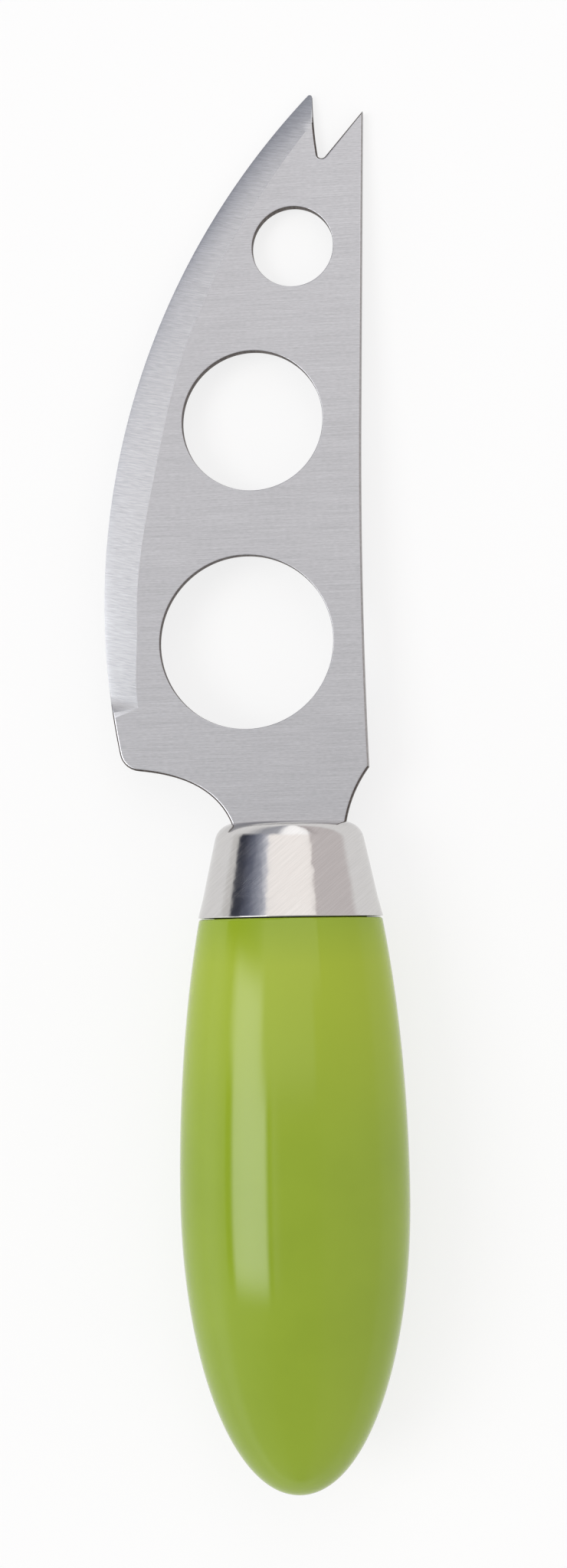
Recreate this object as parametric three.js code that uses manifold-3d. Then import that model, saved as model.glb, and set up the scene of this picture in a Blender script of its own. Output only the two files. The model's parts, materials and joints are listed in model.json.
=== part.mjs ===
import * as THREE from 'three';
import { mergeVertices } from 'three/addons/utils/BufferGeometryUtils.js';
import Module from 'manifold-3d';

// A cheese knife with a fork tip, in millimetres, lying on a table.
// Every piece is drawn in the knife's own frame: +Y along the knife towards the fork, +X towards the spine,
// +Z off the blade's face, and the origin on the knife's axis where the ferrule meets the grip.
// The finished knife is then laid down, so that the belly of the grip and the spine's prong touch the table.

// Blade sheet
const BLADE_THICKNESS = 1.5;
const EDGE_BREAK = 0.3; // rounding of the stamped outline and of the holes' rims

// Blade outline: a height is above the ferrule's top, an offset is from the knife's axis
const NECK_WIDTH = 17.2;
const EDGE_REACH = 27.7; // offset of the cutting edge where it stands out most
const EDGE_REACH_HEIGHT = 33.2;
const HEEL_HEIGHT = 8.3; // lowest point of the heel's rounded corner
const HEEL_RADIUS = 3.1;
const HEEL_FALL = 6; // degrees by which the heel's underside starts to drop towards the neck
const HEEL_BEND = 2.9; // how far out from the neck that underside turns down
const SHOULDER_HEIGHT = 8.1; // corner at the foot of the spine
const SHOULDER_RADIUS = 19;
const SPINE_WAIST = 11.95; // offset of the spine where it is nearest to the axis
const SPINE_WAIST_HEIGHT = 38.4;
const SPINE_RADIUS = 935;
const SPINE_STRAIGHT_HEIGHT = 56.9; // above this the spine runs straight

// Fork: the notch sets how long the blade is, and a prong's height is above the bottom of the notch
const NOTCH_HEIGHT = 101.6;
const NOTCH_OFFSET = 6.6;
const NOTCH_RADIUS = 0.7;
const SPINE_PRONG_HEIGHT = 7.2;
const EDGE_PRONG_HEIGHT = 10.87; // of its corner before that is rounded
const EDGE_PRONG_INSIDE = 5.35; // offset of its inner side
const EDGE_PRONG_ROUND = 0.4;

// Sweep of the cutting edge: the arc that leads from where it stands out most to the corner of its prong
const EDGE_RISE = NOTCH_HEIGHT + EDGE_PRONG_HEIGHT - EDGE_REACH_HEIGHT;
const EDGE_RUN = EDGE_REACH + EDGE_PRONG_INSIDE;
const EDGE_RADIUS = (EDGE_RISE ** 2 + EDGE_RUN ** 2) / (2 * EDGE_RUN);

// Round holes that keep soft cheese from sticking, from the fork to the heel. A share is of the notch's height.
const HOLES = [
  { share: 0.864, offset: 2.0, diameter: 12.4 },
  { share: 0.602, offset: -4.6, diameter: 21.5 },
  { share: 0.27, offset: -6.0, diameter: 26.4 },
];

// Ground bevel, the same on both faces
const GRIND_WIDTH = 5.4; // where it is widest
const GRIND_WIDEST_HEIGHT = 51;
const GRIND_FLATTENING = 13.7; // how much flatter the bevel's inner line is swept than the cutting edge
const EDGE_LAND = 0.2; // thickness left at the cutting edge where the bevel is widest
const PLUNGE_HEIGHT = 16.6; // where the grinding wheel ran out above the heel
const PLUNGE_SLOPE = 20; // degrees

// Tang, measured down from the ferrule's top
const TANG_WIDTH = 15;
const TANG_LENGTH = 46;
const TANG_NOTCH_RADIUS = 1.5;
const TANG_NOTCH_COUNT = 3;
const TANG_NOTCH_PITCH = 5;
const TANG_NOTCH_FIRST = 4; // from the tang's end to the first notch
const TANG_HOLE_DIAMETER = 5;

// Ferrule, a drawn oval cap
const FERRULE_HEIGHT = 14.3;
const FERRULE_WALL = 0.8;
const FERRULE_TOP_WIDTH = 21.3; // before its edge is rounded
const FERRULE_TOP_RADIUS = 3;
const FERRULE_LIP = 0.15; // how far its foot stands proud of the grip

// Grip, a moulded oval shell
const COLLAR_WIDTH = 27.4; // of the end that the ferrule seats on
const GRIP_LENGTH = 84.2;
const GRIP_WIDTH = 34.1;
const GRIP_THICKNESS = 26;
const GRIP_BELLY = 40.1; // depth of the widest place below the collar
const GRIP_FULLNESS = 2.05; // 2 makes the butt a plain ellipse
const GRIP_WALL = 3.5;
const MOUTH_WALL = 2;
const MOUTH_DRAFT = 0.5; // degrees
const CORE_LEAD_IN = 1.5; // chamfer that guides the core into the mouth

// Potting round the tang's end
const POTTING_SIDE = 1.6; // cover beside the tang
const POTTING_FACE = 2.5; // cover over each face of the tang
const POTTING_TOP = 2; // cover above the last notch
const POTTING_TAIL = 6; // cover below the tang's end

// Clearances
const SEAM_GAP = 0.15; // between the faces that seat on the grip's rim
const FIT_GAP = 0.3; // between pieces that fit inside one another

// Facets
const OUTLINE_SEGMENTS = 16; // of a curve in the blade's outline; a round arc has twice as many
const ROUND_SEGMENTS = 40; // of a piece that is round about the knife's axis
const GRIND_SEGMENTS = 240; // of the full circle that the bevel is part of
const PROFILE_STEPS = 10; // of each curved stretch of a profile
const SMALL_ROUND_SEGMENTS = 20;
const EDGE_BREAK_SEGMENTS = 2;
const WELD = 1e-5; // points nearer than this are one
const CUT_PAST = 2; // how far a cutter runs past what it cuts

const OVAL = GRIP_THICKNESS / GRIP_WIDTH;
const edgeCentre = new THREE.Vector2(EDGE_RADIUS - EDGE_REACH, EDGE_REACH_HEIGHT);
const spineCentre = new THREE.Vector2(SPINE_RADIUS + SPINE_WAIST, SPINE_WAIST_HEIGHT);
const spineProngHeight = NOTCH_HEIGHT + SPINE_PRONG_HEIGHT;
const tangEnd = FERRULE_HEIGHT - TANG_LENGTH;
const tangNotchSpan = TANG_NOTCH_FIRST + (TANG_NOTCH_COUNT - 1) * TANG_NOTCH_PITCH;
const pottingTop = tangEnd + tangNotchSpan + TANG_NOTCH_RADIUS + POTTING_TOP;
const coreTop = FERRULE_HEIGHT - FERRULE_WALL - FIT_GAP;
const coreBottom = tangEnd - POTTING_TAIL;
const pocketWidth = TANG_WIDTH + 2 * POTTING_SIDE;
const pocketThickness = BLADE_THICKNESS + 2 * POTTING_FACE;

const wasm = await Module();
wasm.setup();

function solidOf(geometry) {
  geometry.deleteAttribute('normal');
  geometry.deleteAttribute('uv');
  const merged = mergeVertices(geometry, WELD);
  const vertProperties = merged.attributes.position.array;
  const triVerts = Uint32Array.from(merged.index.array);
  return new wasm.Manifold(new wasm.Mesh({ numProp: 3, vertProperties, triVerts }));
}

function pieceOf(name, solid, material) {
  const { vertProperties, triVerts } = solid.getMesh();
  const geometry = new THREE.BufferGeometry();
  geometry.setAttribute('position', new THREE.BufferAttribute(vertProperties, 3));
  geometry.setIndex(new THREE.BufferAttribute(triVerts, 1));
  geometry.computeVertexNormals();
  const piece = new THREE.Mesh(geometry, new THREE.MeshStandardMaterial({ ...material, flatShading: true }));
  piece.name = name;
  return piece;
}

function boxBetween(width, bottom, top, thickness) {
  const box = new THREE.BoxGeometry(width, top - bottom, thickness);
  return solidOf(box.translate(0, (top + bottom) / 2, 0));
}

function pinThrough(x, y, radius, length) {
  const pin = new THREE.CylinderGeometry(radius, radius, length, SMALL_ROUND_SEGMENTS);
  return solidOf(pin.rotateX(Math.PI / 2).translate(x, y, 0));
}

// Turns a profile of [half-width, height] points about the knife's axis and flattens it to the grip's oval
function ovalOf(profile) {
  const points = profile.map(([halfWidth, height]) => new THREE.Vector2(halfWidth, height));
  return solidOf(new THREE.LatheGeometry(points, ROUND_SEGMENTS).scale(1, 1, OVAL));
}

// Centre of the arc that leads from one point to another, to the right of the way there
function arcCentre(from, to, radius) {
  const chord = to.clone().sub(from);
  const reach = Math.sqrt(radius ** 2 - chord.lengthSq() / 4);
  const right = new THREE.Vector2(chord.y, -chord.x).normalize();
  return from.clone().add(to).multiplyScalar(0.5).addScaledVector(right, reach);
}

function arcTo(shape, centre, radius, from, to, clockwise) {
  shape.absarc(
    centre.x,
    centre.y,
    radius,
    Math.atan2(from.y - centre.y, from.x - centre.x),
    Math.atan2(to.y - centre.y, to.x - centre.x),
    clockwise,
  );
}

// Centre of a round of the given radius that lies inside the cutting edge's sweep and touches it
function centreAgainstEdgeAtHeight(height, radius) {
  const across = Math.sqrt((EDGE_RADIUS - radius) ** 2 - (edgeCentre.y - height) ** 2);
  return new THREE.Vector2(edgeCentre.x - across, height);
}

function centreAgainstEdgeAtOffset(offset, radius) {
  const up = Math.sqrt((EDGE_RADIUS - radius) ** 2 - (edgeCentre.x - offset) ** 2);
  return new THREE.Vector2(offset, edgeCentre.y + up);
}

function onEdge(centre) {
  const out = centre.clone().sub(edgeCentre).setLength(EDGE_RADIUS);
  return out.add(edgeCentre);
}

function onSpineArc(height) {
  const across = Math.sqrt(SPINE_RADIUS ** 2 - (height - spineCentre.y) ** 2);
  return new THREE.Vector2(spineCentre.x - across, height);
}

function bladeOutline() {
  const tipCentre = centreAgainstEdgeAtOffset(EDGE_PRONG_INSIDE - EDGE_PRONG_ROUND, EDGE_PRONG_ROUND);
  const tipInside = new THREE.Vector2(EDGE_PRONG_INSIDE, tipCentre.y);
  const heelCentre = centreAgainstEdgeAtHeight(HEEL_HEIGHT + HEEL_RADIUS, HEEL_RADIUS);
  const heelTurn = THREE.MathUtils.degToRad(-90 - HEEL_FALL);
  const heelEnd = new THREE.Vector2(Math.cos(heelTurn), Math.sin(heelTurn));
  heelEnd.multiplyScalar(HEEL_RADIUS).add(heelCentre);
  const neck = NECK_WIDTH / 2;
  const bendOffset = -neck - HEEL_BEND;
  const bendHeight = heelEnd.y - Math.tan(THREE.MathUtils.degToRad(HEEL_FALL)) * (bendOffset - heelEnd.x);

  const neckRight = new THREE.Vector2(neck, 0);
  const shoulder = onSpineArc(SHOULDER_HEIGHT);
  const shoulderCentre = arcCentre(neckRight, shoulder, SHOULDER_RADIUS);
  const spineTop = onSpineArc(SPINE_STRAIGHT_HEIGHT);
  const spineSlope = (spineTop.y - spineCentre.y) / (spineCentre.x - spineTop.x);
  const spineProng = new THREE.Vector2(
    spineTop.x + spineSlope * (spineProngHeight - spineTop.y),
    spineProngHeight,
  );

  const notchCentre = new THREE.Vector2(NOTCH_OFFSET, NOTCH_HEIGHT + NOTCH_RADIUS);
  const toProng = spineProng.clone().sub(notchCentre);
  const touch = toProng.angle() - Math.acos(NOTCH_RADIUS / toProng.length());
  const notchRight = new THREE.Vector2(Math.cos(touch), Math.sin(touch));
  notchRight.multiplyScalar(NOTCH_RADIUS).add(notchCentre);
  const notchLeft = new THREE.Vector2(NOTCH_OFFSET - NOTCH_RADIUS, notchCentre.y);

  const outline = new THREE.Shape();
  arcTo(outline, tipCentre, EDGE_PRONG_ROUND, tipInside, onEdge(tipCentre), false);
  arcTo(outline, edgeCentre, EDGE_RADIUS, onEdge(tipCentre), onEdge(heelCentre), false);
  arcTo(outline, heelCentre, HEEL_RADIUS, onEdge(heelCentre), heelEnd, false);
  outline.quadraticCurveTo(bendOffset, bendHeight, -neck, 0);
  outline.lineTo(-neck, -FERRULE_WALL);
  outline.lineTo(-TANG_WIDTH / 2, -FERRULE_WALL);
  outline.lineTo(-TANG_WIDTH / 2, -TANG_LENGTH);
  outline.lineTo(TANG_WIDTH / 2, -TANG_LENGTH);
  outline.lineTo(TANG_WIDTH / 2, -FERRULE_WALL);
  outline.lineTo(neck, -FERRULE_WALL);
  outline.lineTo(neck, 0);
  arcTo(outline, shoulderCentre, SHOULDER_RADIUS, neckRight, shoulder, true);
  arcTo(outline, spineCentre, SPINE_RADIUS, shoulder, spineTop, true);
  outline.lineTo(spineProng.x, spineProng.y);
  outline.lineTo(notchRight.x, notchRight.y);
  arcTo(outline, notchCentre, NOTCH_RADIUS, notchRight, notchLeft, true);
  outline.quadraticCurveTo(EDGE_PRONG_INSIDE, (notchLeft.y + tipInside.y) / 2, tipInside.x, tipInside.y);
  outline.holes = HOLES.map(({ share, offset, diameter }) =>
    new THREE.Path().absarc(offset, share * NOTCH_HEIGHT, diameter / 2, 0, 2 * Math.PI, true));
  return outline;
}

// What the grinding wheel takes off one face: a coned ring about a centre further off than the cutting edge's, so
// that the bevel narrows to both ends, cut off by the plunge's ramp
function grindCutter(side) {
  const face = BLADE_THICKNESS / 2;
  const fall = (face - EDGE_LAND / 2) / GRIND_WIDTH;
  const sweep = EDGE_RADIUS + GRIND_FLATTENING;
  const inner = sweep - GRIND_WIDTH - CUT_PAST;
  const outer = sweep + CUT_PAST;
  const ring = [
    [inner, face + fall * CUT_PAST],
    [outer, face - fall * (GRIND_WIDTH + CUT_PAST)],
    [outer, face + CUT_PAST],
    [inner, face + CUT_PAST],
    [inner, face + fall * CUT_PAST],
  ].map(([radius, height]) => new THREE.Vector2(radius, side * height));
  if (side < 0) ring.reverse();
  const cone = new THREE.LatheGeometry(ring, GRIND_SEGMENTS).rotateX(Math.PI / 2);
  const widest = centreAgainstEdgeAtHeight(GRIND_WIDEST_HEIGHT, 0);
  const centre = edgeCentre.clone().sub(widest).setLength(sweep).add(widest);
  cone.translate(centre.x, centre.y, 0);

  const room = 2 * outer;
  const ramp = new THREE.BoxGeometry(2 * room, 2 * room, room);
  ramp.translate(0, room, side * room / 2);
  ramp.rotateX(-side * THREE.MathUtils.degToRad(PLUNGE_SLOPE)).translate(0, 0, side * face);
  ramp.rotateZ(Math.asin((edgeCentre.y - PLUNGE_HEIGHT) / EDGE_RADIUS)).translate(edgeCentre.x, edgeCentre.y, 0);
  return solidOf(cone).intersect(solidOf(ramp));
}

// Half-round notches along both sides of the tang and the hole between them, as pins in the knife's frame
function tangKeys(shrink, length) {
  const side = TANG_WIDTH / 2;
  const heights = Array.from(
    { length: TANG_NOTCH_COUNT },
    (_, index) => tangEnd + TANG_NOTCH_FIRST + index * TANG_NOTCH_PITCH,
  );
  const radius = TANG_NOTCH_RADIUS - shrink;
  const notches = heights.flatMap((height) =>
    [-side, side].map((x) => pinThrough(x, height, radius, length)));
  const holeHeight = tangEnd + (TANG_NOTCH_FIRST + tangNotchSpan) / 2;
  return [...notches, pinThrough(0, holeHeight, TANG_HOLE_DIAMETER / 2 - shrink, length)];
}

function makeBlade() {
  const sheet = new THREE.ExtrudeGeometry(bladeOutline(), {
    depth: BLADE_THICKNESS - 2 * EDGE_BREAK,
    curveSegments: OUTLINE_SEGMENTS,
    bevelThickness: EDGE_BREAK,
    bevelSize: EDGE_BREAK,
    bevelOffset: -EDGE_BREAK,
    bevelSegments: EDGE_BREAK_SEGMENTS,
  });
  sheet.translate(0, 0, EDGE_BREAK - BLADE_THICKNESS / 2);
  const ground = solidOf(sheet).subtract(grindCutter(1)).subtract(grindCutter(-1));
  const blade = tangKeys(0, BLADE_THICKNESS + CUT_PAST).reduce(
    (solid, key) => solid.subtract(key),
    ground.translate([0, FERRULE_HEIGHT, 0]),
  );
  return pieceOf('blade', blade, { color: 0xc3c3c6, metalness: 1, roughness: 0.35 });
}

// The ferrule's side and rounded edge, from the seam at the grip up to a top and in to the axis. Drawn in by the
// wall it is the inside, and by a fit's gap more it is what fills that inside.
function ferruleProfile(top, drawnIn) {
  const lean = Math.atan((COLLAR_WIDTH - FERRULE_TOP_WIDTH) / 2 / FERRULE_HEIGHT);
  const halfWidth = (height) => COLLAR_WIDTH / 2 - height * Math.tan(lean) - drawnIn;
  const radius = FERRULE_TOP_RADIUS - drawnIn;
  const centre = halfWidth(top) - radius * Math.tan((Math.PI / 2 - lean) / 2);
  const round = new THREE.EllipseCurve(centre, top - radius, radius, radius, lean, Math.PI / 2);
  const edge = round.getPoints(PROFILE_STEPS / 2).map((point) => [point.x, point.y]);
  return [[halfWidth(SEAM_GAP), SEAM_GAP], ...edge, [0, top]];
}

function makeFerrule() {
  const inside = ferruleProfile(FERRULE_HEIGHT - FERRULE_WALL, FERRULE_WALL);
  const cap = ovalOf([...inside.toReversed(), ...ferruleProfile(FERRULE_HEIGHT, 0)]);
  const slot = boxBetween(
    NECK_WIDTH + 2 * FIT_GAP,
    FERRULE_HEIGHT - FERRULE_WALL - CUT_PAST,
    FERRULE_HEIGHT + CUT_PAST,
    BLADE_THICKNESS + 2 * FIT_GAP,
  );
  return pieceOf('ferrule', cap.subtract(slot), { color: 0xcfcdcb, metalness: 1, roughness: 0.15 });
}

// Half-width of the mouth that the core is pushed into
function mouthHalfWidth(depth) {
  return COLLAR_WIDTH / 2 - MOUTH_WALL - depth * Math.tan(THREE.MathUtils.degToRad(MOUTH_DRAFT));
}

function makeCore() {
  const plugTop = mouthHalfWidth(-SEAM_GAP) - FIT_GAP;
  const plugBottom = mouthHalfWidth(-coreBottom) - FIT_GAP;
  const plug = ovalOf([
    [0, coreBottom],
    [plugBottom - CORE_LEAD_IN, coreBottom],
    [plugBottom, coreBottom + CORE_LEAD_IN],
    [plugTop, SEAM_GAP],
    ...ferruleProfile(coreTop, FERRULE_WALL + FIT_GAP),
  ]);
  const slot = boxBetween(
    TANG_WIDTH + 2 * FIT_GAP,
    pottingTop - CUT_PAST,
    coreTop + CUT_PAST,
    BLADE_THICKNESS + 2 * FIT_GAP,
  );
  const pocket = boxBetween(pocketWidth, coreBottom - CUT_PAST, pottingTop, pocketThickness);
  const core = plug.subtract(slot).subtract(pocket);
  return pieceOf('tang_core', core, { color: 0x3a3d38, metalness: 0, roughness: 0.6 });
}

// The potting fills the core's pocket and reaches through the tang's notches and hole
function makeAdhesive() {
  const thickness = pocketThickness - 2 * FIT_GAP;
  const block = boxBetween(pocketWidth - 2 * FIT_GAP, coreBottom, pottingTop - FIT_GAP, thickness);
  const slot = boxBetween(
    TANG_WIDTH + 2 * FIT_GAP,
    tangEnd - FIT_GAP,
    pottingTop + CUT_PAST,
    BLADE_THICKNESS + 2 * FIT_GAP,
  );
  const potting = tangKeys(FIT_GAP, thickness).reduce((solid, key) => solid.add(key), block.subtract(slot));
  return pieceOf('tang_adhesive', potting, { color: 0xcbb98a, metalness: 0, roughness: 0.4 });
}

// Half-width below the belly of an oval that closes at a given depth
function buttHalfWidth(depth, widest, end) {
  const fall = (depth - GRIP_BELLY) / (end - GRIP_BELLY);
  return widest * Math.max(1 - fall ** GRIP_FULLNESS, 0) ** (1 / GRIP_FULLNESS);
}

// Half-width of the grip at a depth below the collar: an ellipse down to the belly, and a fuller one below it
function gripHalfWidth(depth) {
  if (depth > GRIP_BELLY) return buttHalfWidth(depth, GRIP_WIDTH / 2, GRIP_LENGTH);
  const rise = GRIP_BELLY / Math.sqrt(1 - (COLLAR_WIDTH / GRIP_WIDTH) ** 2);
  return (GRIP_WIDTH / 2) * Math.sqrt(1 - ((GRIP_BELLY - depth) / rise) ** 2);
}

// Half-width of the hollow inside: the straight mouth, drawn in where the butt turns in
function hollowHalfWidth(depth) {
  if (depth < GRIP_BELLY) return mouthHalfWidth(depth);
  const butt = buttHalfWidth(depth, GRIP_WIDTH / 2 - GRIP_WALL, GRIP_LENGTH - GRIP_WALL);
  return Math.min(mouthHalfWidth(depth), butt);
}

// Depths from the collar to an end below the belly, closer together where the butt turns in
function gripDepths(end) {
  const steps = Array.from({ length: PROFILE_STEPS + 1 }, (_, index) => index / PROFILE_STEPS);
  const above = steps.map((share) => share * GRIP_BELLY);
  const below = steps.map((share) => GRIP_BELLY + (end - GRIP_BELLY) * Math.sin((share * Math.PI) / 2));
  return [...above, ...below.slice(1)];
}

function makeGrip() {
  const outside = gripDepths(GRIP_LENGTH).map((depth) => [gripHalfWidth(depth), -depth]);
  const inside = gripDepths(GRIP_LENGTH - GRIP_WALL).map((depth) => [hollowHalfWidth(depth), -depth]);
  const shell = ovalOf([...outside.toReversed(), ...inside]);
  return pieceOf('handle_shell', shell, { color: 0x93bf1f, metalness: 0, roughness: 0.12 });
}

// Slope at which the knife lies on the belly of the grip and on the prong at the end of the spine
function restSlope() {
  const prong = FERRULE_HEIGHT + spineProngHeight;
  const slopes = gripDepths(GRIP_LENGTH).map((depth) =>
    (gripHalfWidth(depth) * OVAL - BLADE_THICKNESS / 2) / (prong + depth));
  return Math.max(...slopes);
}

const knife = new THREE.Group();
knife.add(makeBlade(), makeFerrule(), makeCore(), makeAdhesive(), makeGrip());
knife.rotation.x = -Math.atan(restSlope());

// The origin of the whole is on the table, under the middle of the knife
const reach = new THREE.Box3().setFromObject(knife, true);
const middle = reach.getCenter(new THREE.Vector3());
knife.position.set(-middle.x, -middle.y, -reach.min.z);

export default knife;
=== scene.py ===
"""Looks of a fork-tipped cheese knife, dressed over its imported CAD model."""

import json
import logging
import math
from abc import ABC, abstractmethod
from collections.abc import Mapping, Sequence
from dataclasses import dataclass
from enum import Enum

import bmesh
import bpy
from bpy.types import Material, Mesh, Node, NodeSocket, NodeTree, Object
from mathutils import Matrix, Vector
from mathutils.geometry import delaunay_2d_cdt


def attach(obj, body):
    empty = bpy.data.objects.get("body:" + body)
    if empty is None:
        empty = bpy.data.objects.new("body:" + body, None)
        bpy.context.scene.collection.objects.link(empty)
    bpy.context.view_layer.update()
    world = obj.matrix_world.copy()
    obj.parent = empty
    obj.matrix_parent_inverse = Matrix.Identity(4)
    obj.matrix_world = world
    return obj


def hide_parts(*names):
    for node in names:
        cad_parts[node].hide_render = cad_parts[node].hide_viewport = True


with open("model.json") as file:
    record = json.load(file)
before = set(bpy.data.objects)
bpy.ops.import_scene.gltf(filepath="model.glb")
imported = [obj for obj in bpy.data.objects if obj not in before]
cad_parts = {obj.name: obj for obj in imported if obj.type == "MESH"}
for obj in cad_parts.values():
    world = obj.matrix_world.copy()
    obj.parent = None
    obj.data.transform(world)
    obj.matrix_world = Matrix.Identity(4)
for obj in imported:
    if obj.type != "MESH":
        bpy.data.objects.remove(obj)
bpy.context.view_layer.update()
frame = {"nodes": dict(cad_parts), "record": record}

MM = 0.001
GRIND_UV = "along_edge"
FERRULE_HEIGHT = 14.3  # mm; the blade's own heights start at the ferrule's top
SHARP_ANGLE = math.radians(35)
ARC_ANGLE = math.radians(11)  # the most that an arc turns between two of its points
WELD = 1e-4  # mm; points nearer than this are one
LEVEL = 1e-5  # mm; a face that rises by less than this is level
INSIDE_ONLY = 1  # asks delaunay_2d_cdt for the triangles inside the outermost line
SHARE, VALUE_A, VALUE_B, COLOUR_A, COLOUR_B = 0, 2, 3, 6, 7  # a Mix node's inputs
MIXED_COLOUR = 2  # and its output for colours

Pair = tuple[float, float]
Triple = tuple[float, float, float]
Faces = list[tuple[int, ...]]

log = logging.getLogger("cheese_knife")


class BladeZone(Enum):
    """Parts of the blade's skin that are finished differently, by the number of their material."""

    FLAT = 0
    BEVEL = 1
    WALL = 2
    SPINE = 3


def linear(hex_colour: str) -> tuple[float, float, float, float]:
    """Turns an sRGB colour into the linear colour that a shader socket takes.

    Args:
        hex_colour: Six hex digits, as in "c4c3c1".

    Returns:
        Linear red, green, blue and an alpha of 1.
    """
    shares = [int(hex_colour[i:i + 2], 16) / 255 for i in (0, 2, 4)]
    red, green, blue = (s / 12.92 if s <= 0.04045 else ((s + 0.055) / 1.055) ** 2.4 for s in shares)
    return red, green, blue, 1.0


def add(tree: NodeTree, kind: str, inputs: Mapping | None = None, **settings: object) -> Node:
    """Adds a node with its settings, values and links.

    Args:
        tree: The tree that gets the node.
        kind: The node's type.
        inputs: What goes into each socket, by its name or number: a socket or a node to link, or a value.
        **settings: The node's own properties.

    Returns:
        The new node.
    """
    node = tree.nodes.new(kind)
    for name, value in settings.items():
        setattr(node, name, value)
    for key, value in (inputs or {}).items():
        if isinstance(value, Node):
            value = value.outputs[0]
        if isinstance(value, NodeSocket):
            tree.links.new(value, node.inputs[key])
        else:
            node.inputs[key].default_value = value
    return node


def put_in_scene(name: str, mesh: Mesh) -> Object:
    """Links a mesh to the scene as an object at the origin.

    Args:
        name: The object's name.
        mesh: Its mesh.

    Returns:
        The new object.
    """
    piece = bpy.data.objects.new(name, mesh)
    bpy.context.scene.collection.objects.link(piece)
    return piece


def plain_mesh(piece: Object, name: str) -> Mesh:
    """Makes a plain mesh of what an object's modifiers give, and removes the object.

    Args:
        piece: The object with its modifiers.
        name: The name of the mesh.

    Returns:
        The evaluated mesh.
    """
    evaluated = piece.evaluated_get(bpy.context.evaluated_depsgraph_get())
    mesh = bpy.data.meshes.new_from_object(evaluated)
    bpy.data.objects.remove(piece)
    mesh.name = name
    return mesh


def weld_and_crease(mesh: Mesh) -> None:
    """Merges a mesh's doubled points, turns its faces outwards and marks its corners as sharp.

    Args:
        mesh: The mesh, in millimetres.
    """
    work = bmesh.new()
    work.from_mesh(mesh)
    bmesh.ops.remove_doubles(work, verts=work.verts, dist=WELD)
    bmesh.ops.dissolve_degenerate(work, edges=work.edges, dist=WELD)
    bmesh.ops.recalc_face_normals(work, faces=work.faces)
    for edge in work.edges:
        edge.smooth = len(edge.link_faces) == 2 and edge.calc_face_angle() < SHARP_ANGLE
    work.to_mesh(mesh)
    work.free()


def knife_frame(mount: Mapping, place: Vector) -> Matrix:
    """Finds how the knife lies from one of its mounts.

    Its own frame is in millimetres, with +Y to the fork, +X to the spine and +Z off the blade's face.

    Args:
        mount: The record's mount on the blade's face.
        place: Where that mount is in the knife's own frame.

    Returns:
        What takes the knife's own frame to the row's.
    """
    turn = Vector((0, 0, 1)).rotation_difference(Vector(mount["axis"])).to_matrix().to_4x4()
    seat = Matrix.Translation(Vector(mount["pos_m"]))
    return seat @ turn @ Matrix.Scale(MM, 4) @ Matrix.Translation(-place)


@dataclass
class ClosedLine:
    """A closed line in the plane of the blade, drawn stretch by stretch in millimetres."""

    points: list[Vector]
    step: float  # between its points along curves

    def straight_to(self, *ends: Vector) -> None:
        """Goes straight from point to point."""
        self.points.extend(ends)

    def arc_to(self, centre: Vector, end: Vector, clockwise: bool = False) -> None:
        """Goes round a centre.

        Args:
            centre: The arc's centre.
            end: Where the arc ends.
            clockwise: Which way round it goes.
        """
        spoke = self.points[-1] - centre
        start_angle = math.atan2(spoke.y, spoke.x)
        sweep = (math.atan2(end.y - centre.y, end.x - centre.x) - start_angle) % math.tau
        if clockwise:
            sweep -= math.tau
        by_length = math.ceil(abs(sweep) * spoke.length / self.step)
        count = max(by_length, math.ceil(abs(sweep) / ARC_ANGLE))
        for i in range(1, count):
            angle = start_angle + sweep * i / count
            self.points.append(centre + spoke.length * Vector((math.cos(angle), math.sin(angle))))
        self.points.append(end)

    def curve_to(self, control: Vector, end: Vector) -> None:
        """Goes along a curve that leaves and arrives in the direction of one control point.

        Args:
            control: The control point.
            end: Where the curve ends.
        """
        start = self.points[-1]
        count = math.ceil(((control - start).length + (end - control).length) / self.step)
        for i in range(1, count):
            share = i / count
            self.points.append(start.lerp(control, share).lerp(control.lerp(end, share), share))
        self.points.append(end)


def inset(line: Sequence[Vector], distance: float) -> list[Vector]:
    """Moves a closed line into the sheet that lies on its left.

    Args:
        line: The line's points.
        distance: How far each side moves.

    Returns:
        The moved points, one for each point of the line.
    """
    moved = []
    for before, point, after in zip((line[-1], *line[:-1]), line, (*line[1:], line[0])):
        arrive = (point - before).normalized()
        leave = (after - point).normalized()
        inwards = Vector((-arrive.y - leave.y, arrive.x + leave.x))
        moved.append(point + inwards * (distance / (1 + arrive.dot(leave))))
    return moved


class Finish(ABC):
    """A surface finish, made as a node material."""

    def material(self) -> Material:
        """Makes the material.

        Returns:
            A new material, named for the finish.
        """
        material = bpy.data.materials.new(type(self).__name__)
        material.use_nodes = True
        material.node_tree.nodes.clear()
        shader = self.shade(material.node_tree)
        add(material.node_tree, "ShaderNodeOutputMaterial", {"Surface": shader})
        return material

    @abstractmethod
    def shade(self, tree: NodeTree) -> Node:
        """Fills a material's empty tree and gives the shader's node."""


@dataclass(frozen=True)
class Grain:
    """A noise of a real size that a surface shows."""

    size: Triple  # mm along each axis, infinite where it never changes
    detail: float = 2.0
    roughness: float = 0.5
    slant: float = 0.0  # degrees about the row's +Z

    def draw(self, tree: NodeTree, place: NodeSocket) -> Node:
        """Adds the noise to a tree.

        Args:
            tree: The tree.
            place: The coordinates that the noise is drawn over.

        Returns:
            The noise, from 0 to 1.
        """
        slant = (0, 0, math.radians(self.slant))
        turned = add(tree, "ShaderNodeMapping", {"Vector": place, "Rotation": slant})
        scale = tuple(1 / (length * MM) for length in self.size)
        scaled = add(tree, "ShaderNodeMapping", {"Vector": turned, "Scale": scale})
        return add(tree, "ShaderNodeTexNoise", {
            "Vector": scaled, "Scale": 1.0, "Detail": self.detail, "Roughness": self.roughness,
        })


@dataclass(frozen=True)
class Relief:
    """How a grain stands out from the surface."""

    grain: int
    depth: float  # mm
    strength: float


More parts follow.
